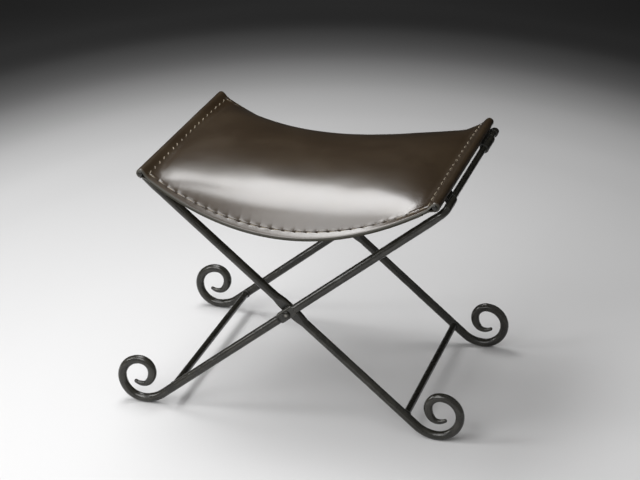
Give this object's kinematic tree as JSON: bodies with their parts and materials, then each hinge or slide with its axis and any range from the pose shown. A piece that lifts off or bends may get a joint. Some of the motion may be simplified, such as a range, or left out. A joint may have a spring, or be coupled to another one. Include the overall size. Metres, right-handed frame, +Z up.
{
  "type": "x frame stool",
  "caption": "Low stool whose round-bar frames cross as an X on side rivets, with scrolled feet and a padded leather sling sewn round the bars at the top.",
  "frame": {"origin": "on the floor, under the middle of the overall box, with the stool open", "axes": "+X is the way the frames open, +Y points to the back, +Z is up"},
  "size_m": [0.6442, 0.4852, 0.4646],
  "materials": {
    "blackened_iron": "satin black, lightly hammered",
    "rivet_iron": "satin black, worn on the heads",
    "brown_leather": "polished dark brown",
    "pad_felt": "matt felt, hidden inside the sling"
  },
  "bodies": {
    "inner_frame": {"inner_leg_front": "blackened_iron", "inner_leg_rear": "blackened_iron", "inner_top_rail": "blackened_iron", "inner_rail_cradle_rear": "blackened_iron", "inner_stretcher": "blackened_iron", "inner_seat_rod": "blackened_iron", "inner_rod_tie_front": "blackened_iron", "inner_rod_tie_rear": "blackened_iron", "pivot_rivet_front": "rivet_iron", "pivot_washer_front": "rivet_iron", "pivot_rivet_rear": "rivet_iron", "pivot_washer_rear": "rivet_iron", "sling_top_leather": "brown_leather", "sling_lower_leather": "brown_leather", "sling_pad": "pad_felt"},
    "outer_frame": {"outer_leg_front": "blackened_iron", "outer_leg_rear": "blackened_iron", "outer_top_rail": "blackened_iron", "outer_rail_cradle_rear": "blackened_iron", "outer_stretcher": "blackened_iron", "outer_seat_rod": "blackened_iron", "outer_rod_tie_front": "blackened_iron", "outer_rod_tie_rear": "blackened_iron"}
  },
  "joints": [
    {"name": "x_fold", "type": "hinge", "parent": "inner_frame", "child": "outer_frame", "pos_m": [0, 0, 0.2153], "axis": [0, -1, 0], "range_deg": [0, 84], "deforming": ["sling_top_leather", "sling_lower_leather", "sling_pad"]}
  ]
}
